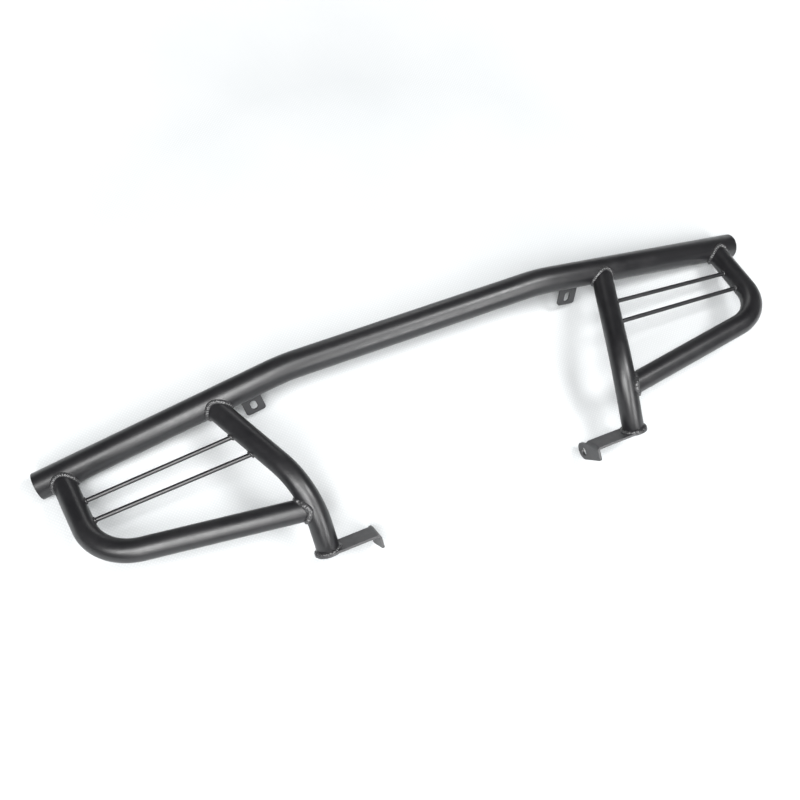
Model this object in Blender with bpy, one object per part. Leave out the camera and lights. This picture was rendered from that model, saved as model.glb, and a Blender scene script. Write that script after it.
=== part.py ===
"""Front grille guard for a truck: a bent bumper tube with end caps, two uprights that lean in and
curve back over the bonnet line, an outer headlamp hoop with two cross rods on each side, two slotted
fixing tabs, two bent foot brackets, and the weld beads that join them.

Metres, +Z up, front towards -Y, vehicle's left towards +X. The finished guard stands with the middle
of its box's underside on the world origin.
"""

import math

import bmesh
import bpy
from mathutils import Matrix, Vector

# Stock sizes.
MAIN_OD = 0.0603
MAIN_WALL = 0.0029
FRAME_OD = 0.0483
FRAME_WALL = 0.0026
ROD_OD = 0.010
PLATE = 0.005
GAP = 0.0003
HOOP_COPE_GAP = 0.0006

# Bumper tube: a straight middle and two wings swept back.
MAIN_CORNER_X = 0.3127
MAIN_END_X = 0.8655
WING_SWEEP = math.radians(9.466)
MAIN_BEND = 0.392
CAP_THICK = 0.003
CAP_INSET = 0.001

# Uprights: foot of the centre line on the bumper tube, its bend corner and its upper end.
UPRIGHT_BASE_X = 0.4827
UPRIGHT_CORNER = Vector((0.3650, 0.0729, 0.2804))
UPRIGHT_END = Vector((0.3642, 0.1998, 0.3427))
UPRIGHT_BEND = 0.158

# Hoops: outer leg on the bumper tube, its bend corner, and the end of its long run, which passes a
# little behind the upright's axis.
HOOP_BASE_X = 0.8160
HOOP_CORNER = Vector((0.7865, 0.1061, 0.2340))
HOOP_END = Vector((0.3617, 0.1182, 0.2957))
HOOP_BEND = 0.111

# Cross rods: share of the upright's lower run and of the hoop's leg at which each rod ends.
ROD_SHARES = {"lower": (0.338, 0.376), "upper": (0.544, 0.607)}
ROD_INNER_BACK = 0.0059
ROD_OUTER_BACK = 0.0011

# Fixing tabs, square to the wings and level with their axis: distances along the wing from its
# corner, and back from its axis.
TAB_START = 0.068
TAB_WIDTH = 0.046
TAB_REACH = 0.081
TAB_CORNER = 0.008
SLOT_REACH = 0.059
SLOT_LENGTH = 0.027
SLOT_WIDTH = 0.014

# Foot brackets: a strip welded across the upright's end, and an ear bent through a right angle.
STRIP_WIDTH = 0.052
STRIP_END_RADIUS = 0.030
STRIP_REACH = 0.1080
BRACKET_BEND = 0.008
EAR_NEAR_CORNER = (-0.028, 0.031)
EAR_NEAR_RADIUS = 0.006
EAR_EYE = (0.046, 0.030)
EAR_EYE_RADIUS = 0.020
EAR_NOTCH = (0.034, 0.007)
EAR_HOLE_AT = (0.042, 0.030)
EAR_HOLE_D = 0.020

# Weld beads.
BEAD = 0.0045
HOOP_TOP_BEAD = 0.0060
ROD_BEAD = 0.0030
TAB_BEAD = 0.0045
TAB_BEAD_SHOULDER = (0.7 * TAB_BEAD, 0.6 * TAB_BEAD)
TAB_BEAD_CREST = (0.2 * TAB_BEAD, TAB_BEAD)
BEAD_STANDOFF = 0.0007

# Cutters: how far each reaches past the piece that it cuts.
CUT_THROUGH = 0.015
CUT_PAST_END = 0.010
CUT_SIDEWAYS = 0.104

# Facets.
MAIN_SIDES = 28
FRAME_SIDES = 24
ROD_SIDES = 10
CUTTER_SIDES = 40
ROD_CUTTER_SIDES = 16
BEAD_SIDES = 6
BEAD_STEPS = 24
ROD_BEAD_STEPS = 10
SEAM_TOLERANCE = 1e-6
WING_BEND_PIECES = 4
UPRIGHT_BEND_PIECES = 7
HOOP_BEND_PIECES = 8
BRACKET_BEND_PIECES = 4
ARC_PIECES = 6
EYE_PIECES = 12
HOLE_SIDES = 20
SHARP_EDGE = math.radians(40)

BACK = Vector((0, 1, 0))


def clear_scene():
    for obj in list(bpy.data.objects):
        bpy.data.objects.remove(obj, do_unlink=True)


def coat(name, colour, roughness, metallic):
    """A Principled material for one kind of piece."""
    material = bpy.data.materials.new(name)
    material.use_nodes = True
    shader = material.node_tree.nodes["Principled BSDF"]
    shader.inputs["Base Color"].default_value = (*colour, 1)
    shader.inputs["Roughness"].default_value = roughness
    shader.inputs["Metallic"].default_value = metallic
    return material


def mirrored(point, side):
    """The left-hand point on the side asked for: +1 is left (+X), -1 is right."""
    return Vector((point[0] * side, point[1], point[2]))


def rounded_path(corners, radius, pieces):
    """A centre line through the corners, with an arc of this radius at each inner one."""
    points = [corners[0]]
    for before, corner, after in zip(corners, corners[1:], corners[2:]):
        arrive = (corner - before).normalized()
        leave = (after - corner).normalized()
        turn = arrive.angle(leave)
        first = corner - arrive * radius * math.tan(turn / 2)
        axis = arrive.cross(leave).normalized()
        centre = first + axis.cross(arrive) * radius
        for step in range(pieces + 1):
            spin = Matrix.Rotation(turn * step / pieces, 3, axis)
            points.append(centre + spin @ (first - centre))
    points.append(corners[-1])
    return points


def rings_along(path, radius, sides, closed=False):
    """A ring of points round each point of the path, carried along it without twist."""
    count = len(path)
    rings = []
    normal = BACK
    for index, point in enumerate(path):
        after = path[(index + 1) % count] if closed else path[min(index + 1, count - 1)]
        before = path[index - 1] if closed else path[max(index - 1, 0)]
        tangent = (after - before).normalized()
        normal = (normal - tangent * normal.dot(tangent)).normalized()
        across = tangent.cross(normal)
        ring = []
        for side in range(sides):
            angle = math.tau * side / sides
            ring.append(point + (normal * math.cos(angle) + across * math.sin(angle)) * radius)
        rings.append(ring)
    return rings


def add_skin(mesh, rings, closed=False):
    """Quads between neighbouring rings. Returns the rings as bmesh vertices."""
    made = [[mesh.verts.new(point) for point in ring] for ring in rings]
    pairs = list(zip(made, made[1:]))
    if closed:
        pairs.append((made[-1], made[0]))
    for low, high in pairs:
        for index in range(len(low)):
            after = (index + 1) % len(low)
            mesh.faces.new((low[index], low[after], high[after], high[index]))
    return made


def add_object(name, mesh, material, datum):
    """Turns a bmesh into an object under the datum, with its round faces shaded smooth."""
    bmesh.ops.recalc_face_normals(mesh, faces=mesh.faces)
    data = bpy.data.meshes.new(name)
    mesh.to_mesh(data)
    mesh.free()
    data.shade_smooth()
    data.set_sharp_from_angle(angle=SHARP_EDGE)
    if material:
        data.materials.append(material)
    obj = bpy.data.objects.new(name, data)
    obj.parent = datum
    bpy.context.scene.collection.objects.link(obj)
    return obj


def as_cutter(obj):
    obj.hide_render = True
    obj.display_type = "WIRE"
    return obj


def cut(obj, *cutters):
    """Takes each cutter away from the object."""
    for cutter in cutters:
        modifier = obj.modifiers.new(f"less_{cutter.name}", "BOOLEAN")
        modifier.operation = "DIFFERENCE"
        modifier.solver = "EXACT"
        modifier.object = cutter


def hollow_tube(name, path, diameter, wall, sides, material, datum):
    """A tube with open ends along the path: outer skin one way, bore back, closed over both rims."""
    outer = rings_along(path, diameter / 2, sides)
    bore = rings_along(path, diameter / 2 - wall, sides)
    mesh = bmesh.new()
    add_skin(mesh, outer + bore[::-1], closed=True)
    return add_object(name, mesh, material, datum)


def solid_bar(name, path, diameter, sides, material, datum):
    """A round bar with flat ends along the path."""
    mesh = bmesh.new()
    rings = add_skin(mesh, rings_along(path, diameter / 2, sides))
    mesh.faces.new(rings[0])
    mesh.faces.new(rings[-1])
    return add_object(name, mesh, material, datum)


def bar_cutter(name, path, diameter, gap, datum, sides=CUTTER_SIDES):
    """A solid bar a little thicker than the tube that it stands for."""
    return as_cutter(solid_bar(name, path, diameter + 2 * gap, sides, None, datum))


def plate_from_outline(name, outline, offset, material, datum):
    """A flat outline swept through the offset."""
    mesh = bmesh.new()
    face = mesh.faces.new([mesh.verts.new(point) for point in outline])
    swept = bmesh.ops.extrude_face_region(mesh, geom=[face])
    moved = [item for item in swept["geom"] if isinstance(item, bmesh.types.BMVert)]
    bmesh.ops.translate(mesh, verts=moved, vec=offset)
    return add_object(name, mesh, material, datum)


def distance_to(path, point):
    """Shortest distance from the point to the centre line."""
    nearest = math.inf
    for start, end in zip(path, path[1:]):
        along = end - start
        share = max(0, min(1, (point - start).dot(along) / along.length_squared))
        nearest = min(nearest, (start + along * share - point).length)
    return nearest


def seam(path, diameter, start, heading, branch_diameter, steps):
    """The line where a branch tube, running from start along its heading, meets the tube on path."""
    heading = heading.normalized()
    normal = (BACK - heading * BACK.dot(heading)).normalized()
    across = heading.cross(normal)
    points = []
    for step in range(steps):
        angle = math.tau * step / steps
        spoke = (normal * math.cos(angle) + across * math.sin(angle)) * branch_diameter / 2
        inside = 0.0
        outside = diameter
        while outside - inside > SEAM_TOLERANCE:
            middle = (inside + outside) / 2
            if distance_to(path, start + spoke + heading * middle) < diameter / 2:
                inside = middle
            else:
                outside = middle
        points.append(start + spoke + heading * outside)
    return points


def bead_ring(name, line, radius, material, datum, cutters):
    """A weld bead along a closed line, trimmed by the pieces that it joins."""
    mesh = bmesh.new()
    add_skin(mesh, rings_along(line, radius, BEAD_SIDES, closed=True), closed=True)
    cut(add_object(name, mesh, material, datum), *cutters)


def joint_bead(name, path, diameter, branch, branch_diameter, radius, material, datum, cutters):
    """A weld bead where a branch, given from its joint outwards, meets the tube on path."""
    steps = ROD_BEAD_STEPS if branch_diameter == ROD_OD else BEAD_STEPS
    line = seam(path, diameter, branch[0], branch[1] - branch[0], branch_diameter, steps)
    bead_ring(name, line, radius, material, datum, cutters)


def arc(centre, radius, start, end, pieces):
    """Points on an arc in a plane, from one angle to another."""
    points = []
    for step in range(pieces + 1):
        angle = start + (end - start) * step / pieces
        points.append((centre[0] + radius * math.cos(angle), centre[1] + radius * math.sin(angle)))
    return points


def main_axis_point(x):
    """The bumper tube's centre line at this distance from the middle, on the wing's straight run."""
    return Vector((x, (x - MAIN_CORNER_X) * math.tan(WING_SWEEP), 0))


def main_path():
    tip = main_axis_point(MAIN_END_X)
    corner = main_axis_point(MAIN_CORNER_X)
    corners = [mirrored(tip, -1), mirrored(corner, -1), corner, tip]
    return rounded_path(corners, MAIN_BEND, WING_BEND_PIECES)


def upright_path(side):
    corners = [main_axis_point(UPRIGHT_BASE_X), UPRIGHT_CORNER, UPRIGHT_END]
    return rounded_path([mirrored(corner, side) for corner in corners], UPRIGHT_BEND, UPRIGHT_BEND_PIECES)


def hoop_path(side):
    corners = [main_axis_point(HOOP_BASE_X), HOOP_CORNER, HOOP_END]
    return rounded_path([mirrored(corner, side) for corner in corners], HOOP_BEND, HOOP_BEND_PIECES)


def rod_ends(which, side):
    on_upright, on_hoop = ROD_SHARES[which]
    inner = main_axis_point(UPRIGHT_BASE_X).lerp(UPRIGHT_CORNER, on_upright) + BACK * ROD_INNER_BACK
    outer = main_axis_point(HOOP_BASE_X).lerp(HOOP_CORNER, on_hoop) + BACK * ROD_OUTER_BACK
    return [mirrored(inner, side), mirrored(outer, side)]


def end_cap(name, side, material, datum):
    """A disc set just inside the mouth of the bumper tube."""
    tip = mirrored(main_axis_point(MAIN_END_X), side)
    inward = (mirrored(main_axis_point(MAIN_CORNER_X), side) - tip).normalized()
    outer = tip + inward * CAP_INSET
    inside_diameter = MAIN_OD - 2 * MAIN_WALL - 4 * GAP
    return solid_bar(name, [outer, outer + inward * CAP_THICK], inside_diameter, MAIN_SIDES, material, datum)


def wing_point(along, back, up, side):
    """A point in the wing's own directions: along it from its corner, back from its axis, and up."""
    x = MAIN_CORNER_X + along * math.cos(WING_SWEEP) - back * math.sin(WING_SWEEP)
    y = along * math.sin(WING_SWEEP) + back * math.cos(WING_SWEEP)
    return mirrored((x, y, up), side)


def tab_outline(grow=0.0):
    """The tab in (along, back): front edge on the wing's axis, back corners rounded."""
    near = TAB_START - grow
    far = TAB_START + TAB_WIDTH + grow
    reach = TAB_REACH + grow
    radius = TAB_CORNER + grow
    outline = [(near, 0), (far, 0)]
    outline += arc((far - radius, reach - radius), radius, 0, math.pi / 2, ARC_PIECES)
    outline += arc((near + radius, reach - radius), radius, math.pi / 2, math.pi, ARC_PIECES)
    return outline


def level_plate(name, outline, thickness, side, material, datum):
    """A plate level with the bumper tube's axis, from an outline in the wing's directions."""
    points = [wing_point(along, back, -thickness / 2, side) for along, back in outline]
    return plate_from_outline(name, points, Vector((0, 0, thickness)), material, datum)


def slot_cutter(name, side, datum):
    """The oval through the tab, long side front to back."""
    middle = TAB_START + TAB_WIDTH / 2
    radius = SLOT_WIDTH / 2
    half = (SLOT_LENGTH - SLOT_WIDTH) / 2
    outline = arc((middle, SLOT_REACH + half), radius, 0, math.pi, ARC_PIECES)
    outline += arc((middle, SLOT_REACH - half), radius, math.pi, math.tau, ARC_PIECES)
    return as_cutter(level_plate(name, outline, CUT_THROUGH, side, None, datum))


def tab(name, side, material, datum, main_cutter):
    plate = level_plate(name, tab_outline(), PLATE, side, material, datum)
    cut(plate, main_cutter, slot_cutter(f"{name}_slot", side, datum))


def tab_bead(name, side, material, datum, cutters):
    """The weld round the tab's root, sloping from the bumper tube up to the tab."""
    profile = [(TAB_BEAD, -TAB_BEAD), (TAB_BEAD, 0), TAB_BEAD_SHOULDER, TAB_BEAD_CREST]
    near = TAB_START
    far = TAB_START + TAB_WIDTH
    half = PLATE / 2
    corners = [(far, half), (near, half), (near, -half), (far, -half)]
    rings = []
    for grow, behind in profile:
        ring = []
        for quarter, corner in enumerate(corners):
            start = quarter * math.pi / 2
            for along, up in arc(corner, grow, start, start + math.pi / 2, ARC_PIECES // 2):
                ring.append(wing_point(along, MAIN_OD / 2 + behind, up, side))
        rings.append(ring)
    mesh = bmesh.new()
    made = add_skin(mesh, rings)
    mesh.faces.new(made[0])
    mesh.faces.new(made[-1])
    cut(add_object(name, mesh, material, datum), *cutters)


def bracket_frame(side):
    """Origin and directions of a foot bracket: inboard, across the strip, and away from the upright."""
    away = (UPRIGHT_END - UPRIGHT_CORNER).normalized()
    inboard = Vector((-1, 0, 0))
    inboard = (inboard - away * inboard.dot(away)).normalized()
    across = inboard.cross(away)
    return [mirrored(item, side) for item in (UPRIGHT_END, inboard, across, away)]


def strip_outline():
    """The strip in (inboard, across): round at the upright, square at the bend."""
    half = STRIP_WIDTH / 2
    blend = math.acos(half / STRIP_END_RADIUS)
    return arc((0, 0), STRIP_END_RADIUS, math.pi / 2 - blend, 3 * math.pi / 2 + blend, EYE_PIECES)


def ear_near_arc():
    """The ear's rounded near corner, and the angle of the edge that runs on from it to the eye."""
    half = STRIP_WIDTH / 2
    corner_x, corner_y = EAR_NEAR_CORNER
    bearing = math.atan2(EAR_EYE[1] - corner_y, EAR_EYE[0] - corner_x)
    back_edge = bearing + math.asin(EAR_EYE_RADIUS / math.dist(EAR_EYE, EAR_NEAR_CORNER))
    side_edge = math.atan2(corner_y - BRACKET_BEND, corner_x + half)
    trim = EAR_NEAR_RADIUS * math.tan((side_edge - back_edge) / 2)
    centre = (
        corner_x - trim * math.cos(side_edge) + EAR_NEAR_RADIUS * math.sin(side_edge),
        corner_y - trim * math.sin(side_edge) - EAR_NEAR_RADIUS * math.cos(side_edge),
    )
    quarter = math.pi / 2
    corner = arc(centre, EAR_NEAR_RADIUS, side_edge + quarter, back_edge + quarter, ARC_PIECES // 2)
    return corner, back_edge


def ear_outline():
    """The ear in (across, away), between the ends of its bend: near corner, eye and notch."""
    outline, back_edge = ear_near_arc()
    notch_bearing = math.atan2(EAR_NOTCH[1] - EAR_EYE[1], EAR_NOTCH[0] - EAR_EYE[0])
    last = notch_bearing + math.acos(EAR_EYE_RADIUS / math.dist(EAR_EYE, EAR_NOTCH))
    outline += arc(EAR_EYE, EAR_EYE_RADIUS, back_edge + math.pi / 2, last, EYE_PIECES)
    outline.append(EAR_NOTCH)
    return outline


def bend_profile():
    """The bend between strip and ear as (inboard, away)."""
    profile = []
    for step in range(BRACKET_BEND_PIECES + 1):
        angle = math.pi / 2 * step / BRACKET_BEND_PIECES
        u = STRIP_REACH - BRACKET_BEND + BRACKET_BEND * math.sin(angle)
        profile.append((u, BRACKET_BEND * (1 - math.cos(angle))))
    return profile


def foot_bracket(name, side, material, datum):
    """One plate: the strip, its bend and the ear, thickened away from the upright."""
    origin, inboard, across, away = bracket_frame(side)
    half = STRIP_WIDTH / 2
    mesh = bmesh.new()

    def vertex(u, v, w):
        return mesh.verts.new(origin + inboard * u + across * v + away * (w + GAP))

    rows = [(vertex(u, -half, w), vertex(u, half, w)) for u, w in bend_profile()]
    strip = [vertex(u, v, 0) for u, v in strip_outline()]
    mesh.faces.new(strip + [rows[0][0], rows[0][1]])
    for low, high in zip(rows, rows[1:]):
        mesh.faces.new((low[0], low[1], high[1], high[0]))
    ear = [vertex(STRIP_REACH, v, w) for v, w in ear_outline()]
    mesh.faces.new([rows[-1][0]] + ear + [rows[-1][1]])
    bracket = add_object(name, mesh, material, datum)
    thicken = bracket.modifiers.new("thickness", "SOLIDIFY")
    thicken.thickness = PLATE
    thicken.offset = 1
    thicken.use_even_offset = True
    hole_at = origin + inboard * STRIP_REACH + across * EAR_HOLE_AT[0] + away * (EAR_HOLE_AT[1] + GAP)
    hole_path = [hole_at - inboard * CUT_THROUGH, hole_at + inboard * CUT_THROUGH]
    cut(bracket, as_cutter(solid_bar(f"{name}_hole", hole_path, EAR_HOLE_D, HOLE_SIDES, None, datum)))


def foot_plate_cutter(name, side, datum):
    """Everything on the bracket's side of the plane where the upright ends."""
    origin, inboard, across, away = bracket_frame(side)
    reach = CUT_SIDEWAYS
    corners = [(-reach, -reach), (reach, -reach), (reach, reach), (-reach, reach)]
    points = [origin + inboard * u + across * v for u, v in corners]
    return as_cutter(plate_from_outline(name, points, away * STRIP_WIDTH, None, datum))


def foot_bead_line(side):
    """A circle just clear of the upright and of the face of its bracket."""
    origin, inboard, across, away = bracket_frame(side)
    circle = arc((0, 0), FRAME_OD / 2 + BEAD_STANDOFF, 0, math.tau, BEAD_STEPS)[:-1]
    return [origin + inboard * u + across * v - away * BEAD_STANDOFF for u, v in circle]


def side_cutters(side, word, upright, hoop, datum):
    """What the upright, the hoop and the foot bracket's face take away from their neighbours."""
    longer = upright + [upright[-1] + (upright[-1] - upright[-2]).normalized() * CUT_PAST_END]
    return {
        "upright": bar_cutter(f"cut_upright_{word}", longer, FRAME_OD, GAP, datum),
        "hoop_end": bar_cutter(f"cut_hoop_end_{word}", longer, FRAME_OD, HOOP_COPE_GAP, datum),
        "hoop": bar_cutter(f"cut_hoop_{word}", hoop, FRAME_OD, GAP, datum),
        "foot": foot_plate_cutter(f"cut_foot_{word}", side, datum),
    }


def build_tubes(side, word, upright, hoop, coats, datum, cutters):
    """The end cap, the upright and the hoop."""
    end_cap(f"end_cap_{word}", side, coats["cap"], datum)
    piece = hollow_tube(f"upright_{word}", upright, FRAME_OD, FRAME_WALL, FRAME_SIDES, coats["tube"], datum)
    cut(piece, cutters["main"])
    piece = hollow_tube(f"hoop_{word}", hoop, FRAME_OD, FRAME_WALL, FRAME_SIDES, coats["tube"], datum)
    cut(piece, cutters["main"], cutters["hoop_end"])


def build_tube_welds(side, word, upright, hoop, coat_used, datum, cutters):
    """The beads at both feet on the bumper tube, at the hoop's top and at the foot bracket."""
    main = main_path()
    joint_bead(
        f"weld_upright_base_{word}", main, MAIN_OD, upright, FRAME_OD, BEAD, coat_used, datum,
        (cutters["main"], cutters["upright"]),
    )
    joint_bead(
        f"weld_hoop_base_{word}", main, MAIN_OD, hoop, FRAME_OD, BEAD, coat_used, datum,
        (cutters["main"], cutters["hoop"]),
    )
    joint_bead(
        f"weld_hoop_top_{word}", upright, FRAME_OD, hoop[::-1], FRAME_OD, HOOP_TOP_BEAD, coat_used, datum,
        (cutters["upright"], cutters["hoop"]),
    )
    name = f"weld_foot_{word}"
    bead_ring(name, foot_bead_line(side), BEAD, coat_used, datum, (cutters["upright"], cutters["foot"]))


def build_rod(which, side, word, upright, hoop, coats, datum, cutters):
    """A cross rod and the beads at its two ends."""
    ends = rod_ends(which, side)
    rod = solid_bar(f"rod_{which}_{word}", ends, ROD_OD, ROD_SIDES, coats["rod"], datum)
    cut(rod, cutters["upright"], cutters["hoop"])
    trim = bar_cutter(f"cut_rod_{which}_{word}", ends, ROD_OD, GAP, datum, ROD_CUTTER_SIDES)
    joint_bead(
        f"weld_rod_{which}_inner_{word}", upright, FRAME_OD, ends, ROD_OD, ROD_BEAD, coats["weld"], datum,
        (cutters["upright"], trim),
    )
    joint_bead(
        f"weld_rod_{which}_outer_{word}", hoop, FRAME_OD, ends[::-1], ROD_OD, ROD_BEAD, coats["weld"], datum,
        (cutters["hoop"], trim),
    )


def build_plates(side, word, coats, datum, cutters):
    """The fixing tab with its weld, and the foot bracket."""
    tab(f"fixing_tab_{word}", side, coats["plate"], datum, cutters["main"])
    trim = level_plate(f"cut_tab_{word}", tab_outline(GAP), PLATE + 2 * GAP, side, None, datum)
    as_cutter(trim)
    tab_bead(f"weld_tab_{word}", side, coats["weld"], datum, (cutters["main"], trim))
    foot_bracket(f"foot_bracket_{word}", side, coats["plate"], datum)


def build_side(side, word, coats, datum, main_cutter):
    """Everything on one side of the guard."""
    upright = upright_path(side)
    hoop = hoop_path(side)
    cutters = side_cutters(side, word, upright, hoop, datum)
    cutters["main"] = main_cutter
    build_tubes(side, word, upright, hoop, coats, datum, cutters)
    build_tube_welds(side, word, upright, hoop, coats["weld"], datum, cutters)
    for which in ROD_SHARES:
        build_rod(which, side, word, upright, hoop, coats, datum, cutters)
    build_plates(side, word, coats, datum, cutters)


def stand_on_origin(datum):
    """Moves the datum so that the middle of the box's underside is on the world origin."""
    bpy.context.view_layer.update()
    graph = bpy.context.evaluated_depsgraph_get()
    points = []
    for obj in bpy.context.scene.objects:
        if obj.type == "MESH" and not obj.hide_render:
            evaluated = obj.evaluated_get(graph)
            points += [evaluated.matrix_world @ vertex.co for vertex in evaluated.data.vertices]
    low = Vector([min(point[axis] for point in points) for axis in range(3)])
    high = Vector([max(point[axis] for point in points) for axis in range(3)])
    datum.location = (-(low.x + high.x) / 2, -(low.y + high.y) / 2, -low.z)
    bpy.context.view_layer.update()


def main():
    clear_scene()
    datum = bpy.data.objects.new("guard_datum", None)
    bpy.context.scene.collection.objects.link(datum)
    coats = {
        "tube": coat("tube_powder_coat", (0.018, 0.018, 0.020), 0.38, 0.0),
        "rod": coat("rod_powder_coat", (0.022, 0.022, 0.024), 0.34, 0.0),
        "plate": coat("plate_powder_coat", (0.040, 0.040, 0.043), 0.45, 0.0),
        "weld": coat("weld_powder_coat", (0.016, 0.016, 0.018), 0.30, 0.0),
        "cap": coat("cap_powder_coat", (0.020, 0.020, 0.022), 0.42, 0.0),
    }
    hollow_tube("main_tube", main_path(), MAIN_OD, MAIN_WALL, MAIN_SIDES, coats["tube"], datum)
    main_cutter = bar_cutter("cut_main", main_path(), MAIN_OD, GAP, datum)
    build_side(1, "left", coats, datum, main_cutter)
    build_side(-1, "right", coats, datum, main_cutter)
    stand_on_origin(datum)


main()
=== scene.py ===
"""Looks of the front grille guard. Each CAD piece is rebuilt finer in its own place: tubes with true
walls, coped ends and eased mouths, rippled weld beads, plates with broken edges, all under a satin
black powder coat. The guard lies on its back on a pale cloth under soft studio light.

Metres. Places are measured from the datum, the middle of the bumper tube's axis, which comes from the
bumper tube's box in the frame. The left side is modelled and mirrored.
"""

import math
import random
from collections import namedtuple

import bmesh
import bpy
from mathutils import Matrix, Quaternion, Vector, noise


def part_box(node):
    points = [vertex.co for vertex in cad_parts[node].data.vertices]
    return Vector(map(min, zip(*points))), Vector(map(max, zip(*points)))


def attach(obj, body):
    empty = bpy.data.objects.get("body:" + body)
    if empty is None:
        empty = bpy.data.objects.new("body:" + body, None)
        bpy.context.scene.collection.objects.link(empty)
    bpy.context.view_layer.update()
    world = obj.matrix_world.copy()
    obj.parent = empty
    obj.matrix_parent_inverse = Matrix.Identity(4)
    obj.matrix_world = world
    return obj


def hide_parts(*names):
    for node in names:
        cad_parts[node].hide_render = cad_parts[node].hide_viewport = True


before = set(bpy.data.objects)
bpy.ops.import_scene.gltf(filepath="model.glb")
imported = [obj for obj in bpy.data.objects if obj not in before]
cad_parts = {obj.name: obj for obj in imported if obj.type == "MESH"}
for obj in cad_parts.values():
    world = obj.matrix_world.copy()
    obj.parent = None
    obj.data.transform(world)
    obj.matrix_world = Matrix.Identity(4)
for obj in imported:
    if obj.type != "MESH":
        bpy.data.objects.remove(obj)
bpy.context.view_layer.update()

# Frame: the bumper tube's box gives its radius and the datum.
MAIN_LOW, MAIN_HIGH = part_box("main_tube")
MAIN_R = (MAIN_HIGH.z - MAIN_LOW.z) / 2
DATUM = Vector((0, MAIN_LOW.y + MAIN_R, MAIN_LOW.z + MAIN_R))

# A finished piece's box may differ by this much from its CAD node's, mostly where welds are buried.
BOX_MATCH = 0.0042

# Stock sizes.
MAIN_WALL = 0.0029
FRAME_R = 0.04830 / 2
FRAME_WALL = 0.0026
ROD_R = 0.0050
PLATE = 0.005

# Gap between a piece and the one it rests on, and how far a tube's coped end sinks into another tube.
FIT_GAP = 0.0003
EMBED = 0.0003

# Edges: how far the middle of a quarter round stands back from its corner, as a share of its radius,
# and the angles in degrees from which an edge is shaded sharp or eased.
ROUND_MIDDLE = 1 - math.cos(math.pi / 4)
SHARP_EDGE = 35
SHARP_ON_BEAD = 60
EASED_EDGE = 40

# Bumper tube: straight middle, two wings swept back, a disc set just inside each mouth.
MAIN_CORNER_X = 0.3127
MAIN_END_X = 0.8655
WING_SWEEP = math.radians(9.466)
MAIN_BEND = 0.392
MOUTH_EASE = 0.0006
CAP_INSET = 0.001
CAP_THICK = 0.003
CAP_EASE = 0.0005

# Uprights and hoops: foot on the bumper tube, bend corner, upper end. The hoop's long run passes behind
# the upright's axis, in the direction HOOP_BEHIND.
UPRIGHT_BASE_X = 0.4827
UPRIGHT_CORNER = Vector((0.3650, 0.0729, 0.2804))
UPRIGHT_END = Vector((0.3642, 0.1998, 0.3427))
UPRIGHT_BEND = 0.158
HOOP_BEHIND = Vector((0, 0.768, -0.641))
HOOP_BASE_X = 0.8160
HOOP_CORNER = Vector((0.7865, 0.1061, 0.2340))
HOOP_END = Vector((0.3617, 0.1182, 0.2957))
HOOP_BEND = 0.111

# Cross rods: share of the upright's lower run and of the hoop's leg at which each rod ends.
ROD_SHARES = {"lower": (0.338, 0.376), "upper": (0.544, 0.607)}
ROD_INNER_BACK = 0.0059
ROD_OUTER_BACK = 0.0011

# Fixing tabs, in the wing's directions from its corner.
TAB_START = 0.068
TAB_WIDTH = 0.046
TAB_REACH = 0.081
TAB_CORNER = 0.008
SLOT_REACH = 0.059
SLOT_LENGTH = 0.027
SLOT_WIDTH = 0.014

# Foot brackets: strip across the upright's end, and an ear bent through a right angle. The radii of
# the two round ends are a hair under the CAD's, because finer facets reach further out.
STRIP_WIDTH = 0.052
STRIP_END_RADIUS = 0.0299
STRIP_REACH = 0.1080
BRACKET_BEND = 0.008
EAR_NEAR_CORNER = (-0.028, 0.031)
EAR_NEAR_RADIUS = 0.006
EAR_EYE = (0.046, 0.030)
EAR_EYE_RADIUS = 0.0199
EAR_NOTCH = (0.034, 0.007)
EAR_HOLE_AT = (0.042, 0.030)
EAR_HOLE_R = 0.010
PLATE_EASE = 0.0006

# Weld beads: radii, the arc across a bead to each side of its crown, the toes where its relief ends,
# and its root, buried in the joint. A flare makes a bead fuller on one side, and rough coarsens it.
BEAD_R = 0.0054
TOP_BEAD_R = 0.0053
ROD_BEAD_R = 0.0031
TAB_BEAD_R = 0.0040
BEAD_HALF_ARC = math.radians(108)
BEAD_TOE = math.radians(60)
BEAD_FLATTEN = 0.92
BEAD_ROOT = 0.0008
BEAD_ROOT_SHARE = 0.5
TOP_BEAD_FLARE = 0.42
ROD_BEAD_FLARE = 0.45
TOP_BEAD_ROUGH = 1.8
FOOT_BEAD_ROUGH = 1.7
TAB_BEAD_TURN = 0.0008
TAB_BEAD_STEP = 0.0006

# Relief of a bead: ripples, lumps, spatter, and the crater of its start. Heights are shares of the
# bead's radius, the pitch is in metres and scales are per metre.
RIPPLE_PITCH = 0.0046
RIPPLE_HEIGHT = 0.22
RIPPLE_SIZES = (0.65, 1.25)
RIPPLE_CURVE = 0.45
FEWEST_RIPPLES = 5
LUMP_HEIGHT = 0.36
LUMP_SCALE = 85
SPATTER_HEIGHT = 0.16
SPATTER_SCALE = 260
CRATER_RIM = 0.22
CRATER_DIP = 0.16
CRATER_NARROW = 4
NOISE_SPAN = 9

# Facets.
MAIN_SIDES = 112
FRAME_SIDES = 96
ROD_SIDES = 32
BEND_PIECES = 28
ARC_PIECES = 10
EYE_PIECES = 28
HOLE_PIECES = 24
BEAD_STEPS = 288
ROD_BEAD_STEPS = 72
BEAD_ARC = 16

# Search for where a line leaves a tube: its reach in radii, and how often it is halved.
SEARCH_REACH = 3
SEARCH_HALVINGS = 18

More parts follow.
